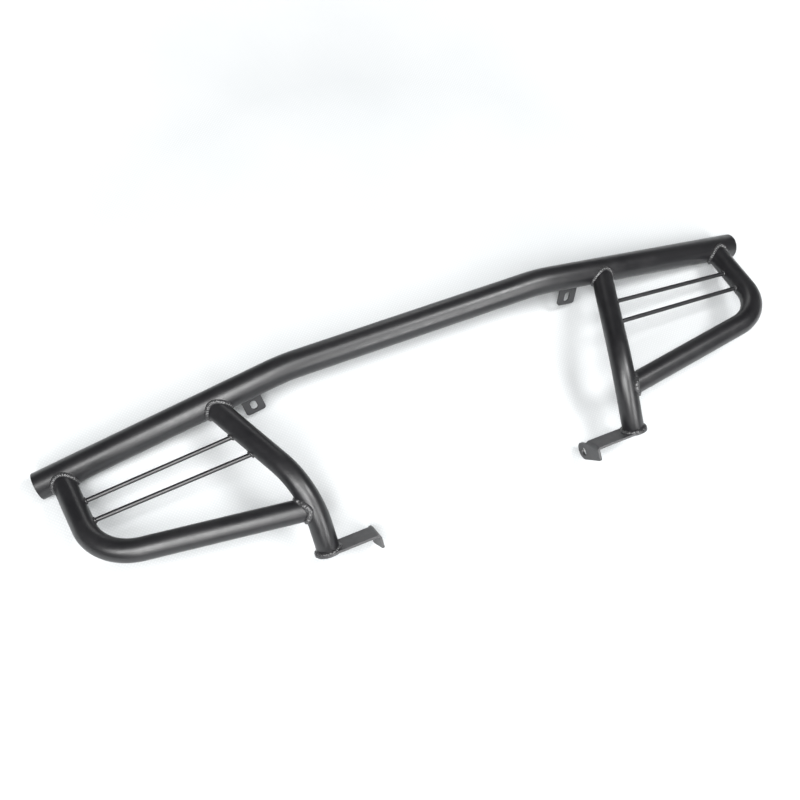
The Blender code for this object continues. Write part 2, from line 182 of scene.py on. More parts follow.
# Camera, round a point near the middle of the guard.
CAMERA_AIM = Vector((0.08732, 0.12026, 0.09140))
CAMERA_DISTANCE = 2.04704
CAMERA_AZIMUTH = math.radians(19.5514)
CAMERA_ELEVATION = math.radians(42.6203)
CAMERA_ROLL = math.radians(146.6921)
CAMERA_LENS = 41.33
CAMERA_SENSOR = 36.0
CAMERA_CLIP = (0.05, 50)

# Floor: the guard lies back on it, so it leans.
FLOOR_LEAN = math.radians(24.6)
FLOOR_CLEARANCE = 0.001
FLOOR_SIZE = 4.4

# Light: soft boxes all at one distance from the datum, one of them smaller for a sharper shadow, and a
# faint glow from all round.
SOFTBOX_SIZE = 1.26
SHARP_SOFTBOX_SIZE = 1.0
SOFTBOX_DISTANCE = 4.0
WORLD_GLOW = 0.02

# Sockets of Blender's Mix node that are for colours: its other kinds use the same names.
COLOUR_INPUTS = slice(6, 8)
COLOUR_OUTPUT = 2

# Powder coat, what is alike on all pieces: clouds, smudges, flecks, rubbed edges, which on the weld
# beads' ripple crests are painted glints as well as wear, orange peel and grain. Scales are per metre,
# depths are in metres and ranges are stretches of a noise's values.
NOISE_RANGE = (0.3, 0.7)
CLOUD_SCALE = 14
CLOUD_RANGE = (0.32, 0.68)
CLOUD_ROUGHNESS = (-0.02, 0.03)
SMUDGE_SCALE = 60
SMUDGE_ROUGHNESS = (-0.05, 0.06)
FLECK_SCALE = 240
FLECK_RADII = (0.06, 0.13)
FLECK_PATCH_SCALE = 35
FLECK_PATCH_RANGE = (0.56, 0.66)
FLECK_STRENGTH = 0.5
EDGE_SAMPLES = 4
EDGE_FACING = (0.97, 0.80)
# Rubbed edges, and on weld crests painted glints: the stretch of smudges used and how strong it gets.
RUB_AND_GLINT_RANGE = (0.42, 0.62)
RUB_AND_GLINT_STRENGTH = (0.15, 0.8)
PEEL_SCALE = 520
PEEL_DEPTH = 0.0004
GRAIN_SCALE = 2400
GRAIN_DEPTH = 0.0001
GRAIN_SHARE = 0.5

# Powder coat of each kind of piece: its cloudy black from dark to light, the tone of rubbed edges and
# flecks (on weld crests a painted glint as well), roughness, strength of the orange peel, and how far
# from an edge the rubbing reaches.
Coat = namedtuple("Coat", "dark light worn roughness peel edge_radius")
COATS = {
    "tube": Coat(
        dark=(0.0065, 0.0065, 0.0074),
        light=(0.0098, 0.0096, 0.0106),
        worn=(0.060, 0.060, 0.064),
        roughness=0.355,
        peel=0.20,
        edge_radius=0.0012,
    ),
    "rod": Coat(
        dark=(0.0085, 0.0085, 0.0095),
        light=(0.0125, 0.0123, 0.0133),
        worn=(0.060, 0.060, 0.064),
        roughness=0.34,
        peel=0.16,
        edge_radius=0.0006,
    ),
    "plate": Coat(
        dark=(0.0200, 0.0200, 0.0215),
        light=(0.0290, 0.0288, 0.0305),
        worn=(0.110, 0.110, 0.116),
        roughness=0.44,
        peel=0.26,
        edge_radius=0.0010,
    ),
    # On the weld's ripple crests, the worn tone is partly a painted glint.
    "weld": Coat(
        dark=(0.0150, 0.0150, 0.0160),
        light=(0.0340, 0.0338, 0.0350),
        worn=(0.105, 0.105, 0.110),
        roughness=0.26,
        peel=0.30,
        edge_radius=0.0008,
    ),
    "cap": Coat(
        dark=(0.0120, 0.0120, 0.0130),
        light=(0.0170, 0.0168, 0.0178),
        worn=(0.070, 0.070, 0.074),
        roughness=0.42,
        peel=0.24,
        edge_radius=0.0008,
    ),
}

# Cloth: two sets of threads with painted shade in the hollows between them, painted light and shade of
# slow folds, and painted light that makes the outer part paler.
# Painted light and shade of slow folds on the flat cloth: the two colours between which its tone swings.
CLOTH_FOLD_SHADE = (0.458, 0.469, 0.475)
CLOTH_FOLD_LIT = (0.492, 0.500, 0.504)
# Painted shade in the hollows between the threads.
CLOTH_HOLLOW_SHADE = (0.33, 0.35, 0.36)
# Painted light: the paler colour of the outer cloth, and the stretch of distances over which it fades
# in.
CLOTH_PAINTED_LIGHT = (0.70, 0.71, 0.715)
PAINTED_LIGHT_REACH = (0.8, 1.8)
CLOTH_ROUGHNESS = (0.85, 0.95)
CLOTH_SHINE = 0.1
THREAD_SCALE = 56.0
THREAD_DISTORTION = 0.8
THREAD_DETAIL_SCALE = 1.5
THREAD_TOP = 0.8
# At most this share of painted shade in the weave's hollows.
HOLLOW_SHADE_STRENGTH = 0.38
WEAVE_BUMP = 0.2
WEAVE_DEPTH = 0.0008
FOLD_SCALE = 3.0

BACK = Vector((0, 1, 0))


# ---------------------------------------------------------------- shapes


def mirrored(point, side):
    """The left-hand point on the side asked for: +1 is left (+X), -1 is right."""
    return Vector((point[0] * side, point[1], point[2]))


def rounded_path(corners, radius, pieces=BEND_PIECES):
    """A centre line through the corners, with an arc of this radius at each inner one."""
    points = [corners[0]]
    for before, corner, after in zip(corners, corners[1:], corners[2:]):
        arrive = (corner - before).normalized()
        leave = (after - corner).normalized()
        turn = arrive.angle(leave)
        first = corner - arrive * radius * math.tan(turn / 2)
        axis = arrive.cross(leave).normalized()
        centre = first + axis.cross(arrive) * radius
        for step in range(pieces + 1):
            spin = Matrix.Rotation(turn * step / pieces, 3, axis)
            points.append(centre + spin @ (first - centre))
    points.append(corners[-1])
    return points


def frames_along(path):
    """(point, tangent, normal, across) at each point of the path, carried along it without twist."""
    frames = []
    normal = BACK
    last = len(path) - 1
    for index, point in enumerate(path):
        tangent = (path[min(index + 1, last)] - path[max(index - 1, 0)]).normalized()
        normal = (normal - tangent * normal.dot(tangent)).normalized()
        frames.append((point, tangent, normal, tangent.cross(normal)))
    return frames


def ring(place, radius, sides, shift=0.0):
    """A ring of points round one place on a path, moved along it by the shift."""
    point, tangent, normal, across = place
    centre = point + tangent * shift
    points = []
    for side in range(sides):
        angle = math.tau * side / sides
        points.append(centre + (normal * math.cos(angle) + across * math.sin(angle)) * radius)
    return points


def nearest_on(path, point):
    """The point of the centre line nearest to this one."""
    best, found = math.inf, None
    for start, end in zip(path, path[1:]):
        along = end - start
        share = max(0, min(1, (point - start).dot(along) / along.length_squared))
        place = start + along * share
        distance = (place - point).length_squared
        if distance < best:
            best, found = distance, place
    return found


def meet(point, heading, path, radius):
    """Where a line that starts inside the tube on path comes out through its surface."""
    inside, outside = 0.0, SEARCH_REACH * radius
    for _ in range(SEARCH_HALVINGS):
        middle = (inside + outside) / 2
        place = point + heading * middle
        if (nearest_on(path, place) - place).length < radius:
            inside = middle
        else:
            outside = middle
    return point + heading * outside


def coped(place, radius, sides, heading, path, surface):
    """The ring round a place, pushed along the heading until it lies on another tube's surface."""
    return [meet(point, heading, path, surface) for point in ring(place, radius, sides)]


def fine(node):
    """The name of the finished piece that stands for a CAD node."""
    return f"{node}_finished"


def smooth_object(node, mesh):
    """Turns a bmesh into a smooth object at the datum, with its faces as they are."""
    data = bpy.data.meshes.new(fine(node))
    mesh.to_mesh(data)
    mesh.free()
    data.transform(Matrix.Translation(DATUM))
    data.shade_smooth()
    obj = bpy.data.objects.new(fine(node), data)
    bpy.context.scene.collection.objects.link(obj)
    return obj


def closed_object(node, mesh, sharp=SHARP_EDGE):
    """Turns a closed bmesh into an object, facing outwards and smooth apart from its sharp edges."""
    bmesh.ops.recalc_face_normals(mesh, faces=mesh.faces)
    obj = smooth_object(node, mesh)
    obj.data.set_sharp_from_angle(angle=math.radians(sharp))
    return obj


def even_shading(obj):
    """Weights the normals by area, so that a flat face stays flat up to its eased edges."""
    obj.modifiers.new("even_shading", "WEIGHTED_NORMAL").keep_sharp = True


def fill_between(mesh, loops):
    """Fills the flat face inside the first loop of vertices and outside the second."""
    edges = []
    for loop in loops:
        for start, end in zip(loop, loop[1:] + loop[:1]):
            edges.append(mesh.edges.get((start, end)) or mesh.edges.new((start, end)))
    bmesh.ops.triangle_fill(mesh, edges=edges, use_beauty=True)


def skin(mesh, rings, closed=False):
    """Quads between neighbouring rings. Returns the rings as bmesh vertices."""
    made = [[mesh.verts.new(point) for point in points] for points in rings]
    pairs = list(zip(made, made[1:]))
    if closed:
        pairs.append((made[-1], made[0]))
    for low, high in pairs:
        for index in range(len(low)):
            after = (index + 1) % len(low)
            mesh.faces.new((low[index], low[after], high[after], high[index]))
    return made


def eased_mouth(place, outer, inner, sides, outward):
    """Rings from the outer skin round an open tube's rim to its bore, with both edges eased."""
    ease = MOUTH_EASE
    near = ease * ROUND_MIDDLE
    profile = [
        (outer, ease),
        (outer - near, near),
        (outer - ease, 0),
        (inner + ease, 0),
        (inner + near, near),
        (inner, ease),
    ]
    return [ring(place, radius, sides, -outward * setback) for radius, setback in profile]


def tube(node, path, outer, wall, sides, cope_start=None, cope_end=None):
    """A hollow tube along the path. An end is either an eased open mouth or coped to (path, radius)."""
    places = frames_along(path)
    inner = outer - wall
    first, last = places[0], places[-1]
    if cope_start:
        toward = (path[1] - path[0]).normalized()
        start = [coped(first, radius, sides, toward, *cope_start) for radius in (inner, outer)]
    else:
        start = eased_mouth(first, outer, inner, sides, -1)[::-1]
    if cope_end:
        toward = (path[-2] - path[-1]).normalized()
        end = [coped(last, radius, sides, toward, *cope_end) for radius in (outer, inner)]
    else:
        end = eased_mouth(last, outer, inner, sides, 1)
    outside = [ring(place, outer, sides) for place in places[1:-1]]
    inside = [ring(place, inner, sides) for place in places[-2:0:-1]]
    mesh = bmesh.new()
    skin(mesh, start + outside + end + inside, closed=True)
    return closed_object(node, mesh)


def frame_tube(node, path, **copes):
    """A tube of an upright's or a hoop's size."""
    return tube(node, path, FRAME_R, FRAME_WALL, FRAME_SIDES, **copes)


def rod(node, ends, upright, hoop):
    """A solid round bar whose ends follow the tubes that it meets."""
    places = frames_along(ends)
    heading = (ends[1] - ends[0]).normalized()
    surface = FRAME_R - FIT_GAP
    mesh = bmesh.new()
    inner = coped(places[0], ROD_R, ROD_SIDES, heading, upright, surface)
    outer = coped(places[1], ROD_R, ROD_SIDES, -heading, hoop, surface)
    rings = skin(mesh, [inner, outer])
    for loop in rings:
        centre = mesh.verts.new(sum((corner.co for corner in loop), Vector()) / len(loop))
        for start, end in zip(loop, loop[1:] + loop[:1]):
            mesh.faces.new((start, end, centre))
    return closed_object(node, mesh)


def arc(centre, radius, start, end, pieces):
    """Points on an arc in a plane, from one angle to another."""
    points = []
    for step in range(pieces + 1):
        angle = start + (end - start) * step / pieces
        points.append((centre[0] + radius * math.cos(angle), centre[1] + radius * math.sin(angle)))
    return points


# ---------------------------------------------------------------- centre lines


def main_axis_point(x):
    """The bumper tube's centre line at this distance from the middle, on the wing's straight run."""
    return Vector((x, (x - MAIN_CORNER_X) * math.tan(WING_SWEEP), 0))


def main_path():
    """The bumper tube's centre line, from the right end to the left."""
    tip = main_axis_point(MAIN_END_X)
    corner = main_axis_point(MAIN_CORNER_X)
    return rounded_path([mirrored(tip, -1), mirrored(corner, -1), corner, tip], MAIN_BEND)


def upright_path(side):
    """An upright's centre line, from the bumper tube up to its foot bracket."""
    corners = [main_axis_point(UPRIGHT_BASE_X), UPRIGHT_CORNER, UPRIGHT_END]
    return rounded_path([mirrored(corner, side) for corner in corners], UPRIGHT_BEND)


def hoop_path(side):
    """A hoop's centre line, from the bumper tube round to the upright."""
    corners = [main_axis_point(HOOP_BASE_X), HOOP_CORNER, HOOP_END]
    return rounded_path([mirrored(corner, side) for corner in corners], HOOP_BEND)


def rod_ends(which, side):
    """A cross rod's centre line: its two ends, on the upright's and the hoop's centre lines or near."""
    on_upright, on_hoop = ROD_SHARES[which]
    inner = main_axis_point(UPRIGHT_BASE_X).lerp(UPRIGHT_CORNER, on_upright) + BACK * ROD_INNER_BACK
    outer = main_axis_point(HOOP_BASE_X).lerp(HOOP_CORNER, on_hoop) + BACK * ROD_OUTER_BACK
    return [mirrored(inner, side), mirrored(outer, side)]


# ---------------------------------------------------------------- weld beads


def joint_stations(branch, surface_path, surface_r, branch_r, steps, at_end=False):
    """(point, outward) round the line where a branch tube meets the tube on surface_path.

    Where the branch passes beside that tube, the line is drawn half-way back to its surface.
    """
    path = branch[::-1] if at_end else branch
    heading = (path[1] - path[0]).normalized()
    place = frames_along(path)[0]
    stations = []
    for rim_point in ring(place, branch_r, steps):
        spoke = (rim_point - place[0]).normalized()
        point = meet(rim_point, heading, surface_path, surface_r)
        away = point - nearest_on(surface_path, point)
        overhang = away.length - surface_r
        away.normalize()
        if overhang > 0:
            point -= away * overhang / 2
        stations.append((point, (away + spoke).normalized()))
    return stations


class Ripples:
    """The relief of one weld pass: overlapping crescents, lumps, spatter and one start crater."""

    def __init__(self, seed, length, rough):
        draw = random.Random(seed)
        self.count = max(FEWEST_RIPPLES, round(length / RIPPLE_PITCH))
        self.sizes = [draw.uniform(*RIPPLE_SIZES) for _ in range(self.count)]
        self.crater = draw.random()
        self.rough = rough
        self.offset = Vector([draw.uniform(0, NOISE_SPAN) for _ in range(3)])

    def height(self, share, lean, point):
        """Height over the plain bead as a share of its radius; lean runs from toe to toe, -1 to 1."""
        place = (share * self.count + RIPPLE_CURVE * lean * lean) % self.count
        bump = 1 - (2 * (place % 1) - 1) ** 2
        crescent = RIPPLE_HEIGHT / self.rough * self.sizes[int(place)] * (bump - 0.5)
        lump = self.rough * LUMP_HEIGHT * noise.noise((point + self.offset) * LUMP_SCALE)
        speck = (point + self.offset) * SPATTER_SCALE + Vector((lean, 0, 0))
        lump += self.rough * SPATTER_HEIGHT * noise.noise(speck)
        gap = abs((share - self.crater + 0.5) % 1 - 0.5) * self.count
        crater = CRATER_RIM * math.exp(-gap * gap)
        crater -= CRATER_DIP * math.exp(-CRATER_NARROW * gap * gap)
        return crescent + lump + crater


def bead_section(station, tangent, size, share, ripples):
    """The ring of points across a bead: a rippled arc from toe to toe, and two in the buried root."""
    point, outward = station
    outward = (outward - tangent * outward.dot(tangent)).normalized()
    across = tangent.cross(outward)
    section = []
    for step in range(BEAD_ARC + 1):
        angle = BEAD_HALF_ARC * (2 * step / BEAD_ARC - 1)
        lean = max(-1, min(1, angle / BEAD_TOE))
        rise = ripples.height(share, lean, point) * math.cos(lean * math.pi / 2)
        reach = size * (1 + rise)
        up = outward * math.cos(angle) * reach * BEAD_FLATTEN
        section.append(point + up + across * math.sin(angle) * reach)
    root = point - outward * BEAD_ROOT
    section.append(root + across * size * BEAD_ROOT_SHARE)
    section.append(root - across * size * BEAD_ROOT_SHARE)
    return section


def even(_):
    """The flare of a bead that is equally full all round."""
    return 0.0


def towards(target, middle, amount):
    """The flare of a bead that is fuller on the side that faces the target point."""
    direction = (target - middle).normalized()

    def flare(point):
        return amount * max(0.0, direction.dot((point - middle).normalized())) ** 2

    return flare


def middle_of(stations):
    """The mean of the stations' points."""
    return sum((point for point, _ in stations), Vector()) / len(stations)


def bead(node, stations, radius, flare=even, rough=1.0):
    """A weld bead along a closed line of (point, outward), made fuller by the flare at each point."""
    count = len(stations)
    points = [point for point, _ in stations]
    length = sum((points[index] - points[index - 1]).length for index in range(count))
    ripples = Ripples(fine(node), length, rough)
    rings = []
    for index, station in enumerate(stations):
        tangent = (points[(index + 1) % count] - points[index - 1]).normalized()
        size = radius * (1 + flare(points[index]))
        rings.append(bead_section(station, tangent, size, index / count, ripples))
    mesh = bmesh.new()
    skin(mesh, rings, closed=True)
    return closed_object(node, mesh, SHARP_ON_BEAD)


# ---------------------------------------------------------------- fixing tabs


def wing_point(along, back, up, side):
    """A point in the wing's own directions: along it from its corner, back from its axis, and up."""
    x = MAIN_CORNER_X + along * math.cos(WING_SWEEP) - back * math.sin(WING_SWEEP)
    y = along * math.sin(WING_SWEEP) + back * math.cos(WING_SWEEP)
    return mirrored((x, y, up), side)


def tab_outline(inset):
    """The tab in (along, back), its root just inside the bumper tube's wall, back corners rounded."""
    near, far = TAB_START + inset, TAB_START + TAB_WIDTH - inset
    root = MAIN_R - MAIN_WALL / 2
    reach = TAB_REACH - inset
    radius = TAB_CORNER - inset
    outline = [(near, root), (far, root)]
    outline += arc((far - radius, reach - radius), radius, 0, math.pi / 2, ARC_PIECES)
    outline += arc((near + radius, reach - radius), radius, math.pi / 2, math.pi, ARC_PIECES)
    return outline


def slot_outline(grow):
    """The oval through the tab, long side front to back."""
    middle = TAB_START + TAB_WIDTH / 2
    radius = SLOT_WIDTH / 2 + grow
    half = (SLOT_LENGTH - SLOT_WIDTH) / 2
    outline = arc((middle, SLOT_REACH + half), radius, 0, math.pi, ARC_PIECES)
    outline += arc((middle, SLOT_REACH - half), radius, math.pi, math.tau, ARC_PIECES)
    return outline


def eased_layers(thickness, ease):
    """(height, inset) of the layers of a plate whose edges are rounded over."""
    near = ease * ROUND_MIDDLE
    half = thickness / 2
    low = [(-half, ease), (near - half, near), (ease - half, 0)]
    return low + [(-height, inset) for height, inset in low[::-1]]


def fixing_tab(node, side):
    """A level plate with a slot, its edges eased."""
    rim, bore = [], []
    for height, inset in eased_layers(PLATE, PLATE_EASE):
        rim.append([wing_point(*point, height, side) for point in tab_outline(inset)])
        bore.append([wing_point(*point, height, side) for point in slot_outline(inset)])
    mesh = bmesh.new()
    rim = skin(mesh, rim)
    bore = skin(mesh, bore)
    fill_between(mesh, (rim[0], bore[0]))
    fill_between(mesh, (rim[-1], bore[-1]))
    tab = closed_object(node, mesh)
    even_shading(tab)
    return tab


def tab_root_outline():
    """(place, spoke) round the tab's cross-section, in (along, up), with the spoke facing outwards."""
    turn = TAB_BEAD_TURN
    near, far = TAB_START + turn, TAB_START + TAB_WIDTH - turn
    half = PLATE / 2 - turn
    outline = []
    for quarter, corner in enumerate([(far, half), (near, half), (near, -half), (far, -half)]):
        start = quarter * math.pi / 2
        end = start + math.pi / 2
        outline += zip(arc(corner, turn, start, end, ARC_PIECES), arc((0, 0), 1, start, end, ARC_PIECES))
    return outline


def tab_stations(side):
    """(point, outward) round the tab's root on the bumper tube."""
    outline = tab_root_outline()
    stations = []
    for (place, spoke), (after, _) in zip(outline, outline[1:] + outline[:1]):
        pieces = max(1, round(math.dist(place, after) / TAB_BEAD_STEP))
        for step in range(pieces):
            share = step / pieces
            along = place[0] + (after[0] - place[0]) * share
            up = place[1] + (after[1] - place[1]) * share
            back = math.sqrt(MAIN_R**2 - up**2)
            point = wing_point(along, back, up, side)
            outer = wing_point(along + spoke[0], back + 1, up + spoke[1], side)
            stations.append((point, (outer - point).normalized()))
    return stations


# ---------------------------------------------------------------- foot brackets


def bracket_frame(side):
    """Origin and directions of a foot bracket: inboard, across the strip, and away from the upright."""
    away = (UPRIGHT_END - UPRIGHT_CORNER).normalized()
    inboard = Vector((-1, 0, 0))
    inboard = (inboard - away * inboard.dot(away)).normalized()
    across = inboard.cross(away)
    return [mirrored(item, side) for item in (UPRIGHT_END, inboard, across, away)]


def strip_outline():
    """The strip in (inboard, across): round at the upright, square at the bend."""
    blend = math.acos(STRIP_WIDTH / 2 / STRIP_END_RADIUS)
    return arc((0, 0), STRIP_END_RADIUS, math.pi / 2 - blend, 3 * math.pi / 2 + blend, EYE_PIECES)


def ear_outline():
    """The ear in (across, away), between the ends of its bend: near corner, eye, notch."""
    half = STRIP_WIDTH / 2
    corner_x, corner_y = EAR_NEAR_CORNER
    eye_x, eye_y = EAR_EYE
    bearing = math.atan2(eye_y - corner_y, eye_x - corner_x)
    back_edge = bearing + math.asin(EAR_EYE_RADIUS / math.dist(EAR_EYE, EAR_NEAR_CORNER))
    notch_bearing = math.atan2(EAR_NOTCH[1] - eye_y, EAR_NOTCH[0] - eye_x)
    last = notch_bearing + math.acos(EAR_EYE_RADIUS / math.dist(EAR_EYE, EAR_NOTCH))
    side_edge = math.atan2(corner_y - BRACKET_BEND, corner_x + half)
    trim = EAR_NEAR_RADIUS * math.tan((side_edge - back_edge) / 2)
    centre = (
        corner_x - trim * math.cos(side_edge) + EAR_NEAR_RADIUS * math.sin(side_edge),
        corner_y - trim * math.sin(side_edge) - EAR_NEAR_RADIUS * math.cos(side_edge),
    )
    quarter = math.pi / 2
    outline = arc(centre, EAR_NEAR_RADIUS, side_edge + quarter, back_edge + quarter, ARC_PIECES)
    outline += arc(EAR_EYE, EAR_EYE_RADIUS, back_edge + quarter, last, EYE_PIECES)
    return outline + [EAR_NOTCH]


def bracket_sheet(side):
    """The bracket's face towards the upright: strip, bend and ear in one sheet, with the ear's hole."""
    origin, inboard, across, away = bracket_frame(side)
    half = STRIP_WIDTH / 2
    mesh = bmesh.new()

    def vertex(u, v, w):
        return mesh.verts.new(origin + inboard * u + across * v + away * (w + FIT_GAP))

    rows = []
    for step in range(ARC_PIECES + 1):
        angle = math.pi / 2 * step / ARC_PIECES
        u = STRIP_REACH - BRACKET_BEND + BRACKET_BEND * math.sin(angle)
        w = BRACKET_BEND * (1 - math.cos(angle))
        rows.append((vertex(u, -half, w), vertex(u, half, w)))
    strip = mesh.faces.new([vertex(u, v, 0) for u, v in strip_outline()] + list(rows[0]))
    for low, high in zip(rows, rows[1:]):
        mesh.faces.new((low[0], low[1], high[1], high[0]))
    ear = [vertex(STRIP_REACH, v, w) for v, w in ear_outline()]
    rim = arc(EAR_HOLE_AT, EAR_HOLE_R, 0, math.tau, HOLE_PIECES)[:-1]
    hole = [vertex(STRIP_REACH, v, w) for v, w in rim]
    fill_between(mesh, ([rows[-1][0]] + ear + [rows[-1][1]], hole))
    bmesh.ops.recalc_face_normals(mesh, faces=mesh.faces)
    strip.normal_update()
    if strip.normal.dot(away) < 0:
        bmesh.ops.reverse_faces(mesh, faces=mesh.faces)
    return mesh


def foot_bracket(node, side):
    """The bracket's sheet, thickened away from the upright, its edges eased."""
    bracket = smooth_object(node, bracket_sheet(side))
    thicken = bracket.modifiers.new("thickness", "SOLIDIFY")
    thicken.thickness = PLATE
    thicken.offset = 1
    thicken.use_even_offset = True
    ease = bracket.modifiers.new("eased_edges", "BEVEL")
    ease.width = PLATE_EASE
    ease.segments = 2
    ease.limit_method = "ANGLE"
    ease.angle_limit = math.radians(EASED_EDGE)
    even_shading(bracket)
    return bracket


def foot_stations(side):
    """(point, outward) round the upright's end, against the face of its bracket."""
    origin, inboard, across, away = bracket_frame(side)
    stations = []
    for u, v in arc((0, 0), 1, 0, math.tau, BEAD_STEPS)[:-1]:
        spoke = inboard * u + across * v
        stations.append((origin + spoke * FRAME_R, (spoke - away).normalized()))
    return stations


# ---------------------------------------------------------------- end caps


def end_cap(node, side):
    """A disc with an eased rim, set just inside the mouth of the bumper tube."""
    tip = mirrored(main_axis_point(MAIN_END_X), side)
    outward = (tip - mirrored(main_axis_point(MAIN_CORNER_X), side)).normalized()
    place = frames_along([tip - outward, tip])[-1]
    radius = MAIN_R - MAIN_WALL - FIT_GAP
    face = -CAP_INSET
    near = CAP_EASE * ROUND_MIDDLE
    profile = [
        (radius, face - CAP_THICK),
        (radius, face - CAP_EASE),
        (radius - near, face - near),
        (radius - CAP_EASE, face),
    ]
    mesh = bmesh.new()
    rings = skin(mesh, [ring(place, size, MAIN_SIDES, shift) for size, shift in profile])
    mesh.faces.new(rings[0])
    mesh.faces.new(rings[-1])
    cap = closed_object(node, mesh)
    even_shading(cap)
    return cap


# ---------------------------------------------------------------- materials


class Nodes:
    """Small helper round one material's node tree."""

    def __init__(self, name):
        self.material = bpy.data.materials.new(name)
        self.material.use_nodes = True
        self.tree = self.material.node_tree
        self.shader = self.tree.nodes["Principled BSDF"]

    def add(self, kind, settings=None, **inputs):
        """A new node. Inputs are sockets or plain values, with _ for a space in the input's name."""
        node = self.tree.nodes.new(kind)
        for key, value in (settings or {}).items():
            setattr(node, key, value)
        for key, value in inputs.items():
            self.put(value, node.inputs[key.replace("_", " ")])
        return node

    def put(self, value, socket):
        """Links a socket to this one, or sets this one to a plain value."""
        if isinstance(value, bpy.types.NodeSocket):
            self.tree.links.new(value, socket)
        else:
            socket.default_value = value

    def noise(self, place, scale, detail=2.0, roughness=0.5):
        """A noise's value at each point."""
        inputs = {"Vector": place, "Scale": scale, "Detail": detail, "Roughness": roughness}
        return self.add("ShaderNodeTexNoise", **inputs).outputs["Fac"]

    def spread(self, value, low, high, to_low, to_high):
        """The value's stretch from low to high, mapped and clamped to another stretch."""
        ranges = {"From_Min": low, "From_Max": high, "To_Min": to_low, "To_Max": to_high}
        return self.add("ShaderNodeMapRange", Value=value, **ranges).outputs["Result"]

    def maths(self, operation, first, second):
        """A sum, product or the like of two values."""
        node = self.add("ShaderNodeMath", {"operation": operation})
        self.put(first, node.inputs[0])
        self.put(second, node.inputs[1])
        return node.outputs[0]

    def mix(self, factor, first, second):
        """A mix of two colours, each a socket or (red, green, blue)."""
        node = self.add("ShaderNodeMix", {"data_type": "RGBA"})
        self.put(factor, node.inputs["Factor"])
        for value, socket in zip((first, second), node.inputs[COLOUR_INPUTS]):
            self.put((*value, 1) if isinstance(value, tuple) else value, socket)
        return node.outputs[COLOUR_OUTPUT]

    def bump(self, height, strength, distance, under=None):
        """A normal bent by a height, on top of another bump's normal if there is one under it."""
        node = self.add("ShaderNodeBump", Height=height, Strength=strength, Distance=distance)
        if under:
            self.put(under, node.inputs["Normal"])
        return node.outputs["Normal"]


def flecks(nodes, place):
    """How much of a fleck of dust shows at each point: small dots, in patches."""
    dots = nodes.add("ShaderNodeTexVoronoi", {"feature": "F1"}, Vector=place, Scale=FLECK_SCALE)
    near = nodes.spread(dots.outputs["Distance"], *FLECK_RADII, 1, 0)
    patches = nodes.noise(place, FLECK_PATCH_SCALE)
    return nodes.maths("MULTIPLY", near, nodes.spread(patches, *FLECK_PATCH_RANGE, 0, FLECK_STRENGTH))


def rubbed_edges_and_glints(nodes, smudges, radius):
    """How much the coat is rubbed at each point: along edges and crests, unevenly. On weld beads' crests
    this paler tone is a painted glint as well as wear.
    """
    rounded = nodes.add("ShaderNodeBevel", {"samples": EDGE_SAMPLES}, Radius=radius)
    flat = nodes.add("ShaderNodeNewGeometry")
    facing = nodes.add("ShaderNodeVectorMath", {"operation": "DOT_PRODUCT"})
    nodes.put(rounded.outputs["Normal"], facing.inputs[0])
    nodes.put(flat.outputs["Normal"], facing.inputs[1])
    edge = nodes.spread(facing.outputs["Value"], *EDGE_FACING, 0, 1)
    return nodes.maths("MULTIPLY", edge, nodes.spread(smudges, *RUB_AND_GLINT_RANGE, *RUB_AND_GLINT_STRENGTH))


def powder_coat(name, coat):
    """Satin black powder coat: cloudy tone, flecks, paler rubbed edges (on weld crests painted glints as
    well), orange peel and fine grain.
    """
    nodes = Nodes(name)
    place = nodes.add("ShaderNodeTexCoord").outputs["Object"]
    clouds = nodes.noise(place, CLOUD_SCALE, detail=4, roughness=0.6)
    smudges = nodes.noise(place, SMUDGE_SCALE, detail=5, roughness=0.65)
    orange_peel = nodes.noise(place, PEEL_SCALE, roughness=0.45)
    grain = nodes.noise(place, GRAIN_SCALE)

    tone = nodes.mix(nodes.spread(clouds, *CLOUD_RANGE, 0, 1), coat.dark, coat.light)
    tone = nodes.mix(flecks(nodes, place), tone, coat.worn)
    # Rubbed edges take the worn tone. On weld beads' ripple crests it is a painted glint as well as
    # wear.
    tone = nodes.mix(rubbed_edges_and_glints(nodes, smudges, coat.edge_radius), tone, coat.worn)
    nodes.put(tone, nodes.shader.inputs["Base Color"])

    smudged = [coat.roughness + change for change in SMUDGE_ROUGHNESS]
    satin = nodes.spread(smudges, *NOISE_RANGE, *smudged)
    satin = nodes.maths("ADD", satin, nodes.spread(clouds, *NOISE_RANGE, *CLOUD_ROUGHNESS))
    nodes.put(satin, nodes.shader.inputs["Roughness"])
    relief = nodes.bump(orange_peel, coat.peel, PEEL_DEPTH)
    relief = nodes.bump(grain, coat.peel * GRAIN_SHARE, GRAIN_DEPTH, relief)
    nodes.put(relief, nodes.shader.inputs["Normal"])
    return nodes.material


def woven(nodes, place):
    """Height of the weave at each point, 0 to 1: two sets of threads that cross on the slant."""
    threads = []
    for turn in (1, -1):
        spun = nodes.add("ShaderNodeMapping", Vector=place, Rotation=(0, 0, turn * math.pi / 4))
        wave = nodes.add("ShaderNodeTexWave", Vector=spun.outputs["Vector"], Scale=THREAD_SCALE)
        nodes.put(THREAD_DISTORTION, wave.inputs["Distortion"])
        nodes.put(THREAD_DETAIL_SCALE, wave.inputs["Detail Scale"])
        threads.append(wave.outputs["Fac"])
    return nodes.maths("MULTIPLY", *threads)


def clear_from_behind(nodes):
    """Lets a camera behind a sheet see through it."""
    clear = nodes.add("ShaderNodeBsdfTransparent").outputs["BSDF"]
    behind = nodes.add("ShaderNodeNewGeometry").outputs["Backfacing"]
    choose = nodes.add("ShaderNodeMixShader")
    for value, socket in zip((behind, nodes.shader.outputs["BSDF"], clear), choose.inputs):
        nodes.put(value, socket)
    nodes.put(choose.outputs[0], nodes.tree.nodes["Material Output"].inputs["Surface"])


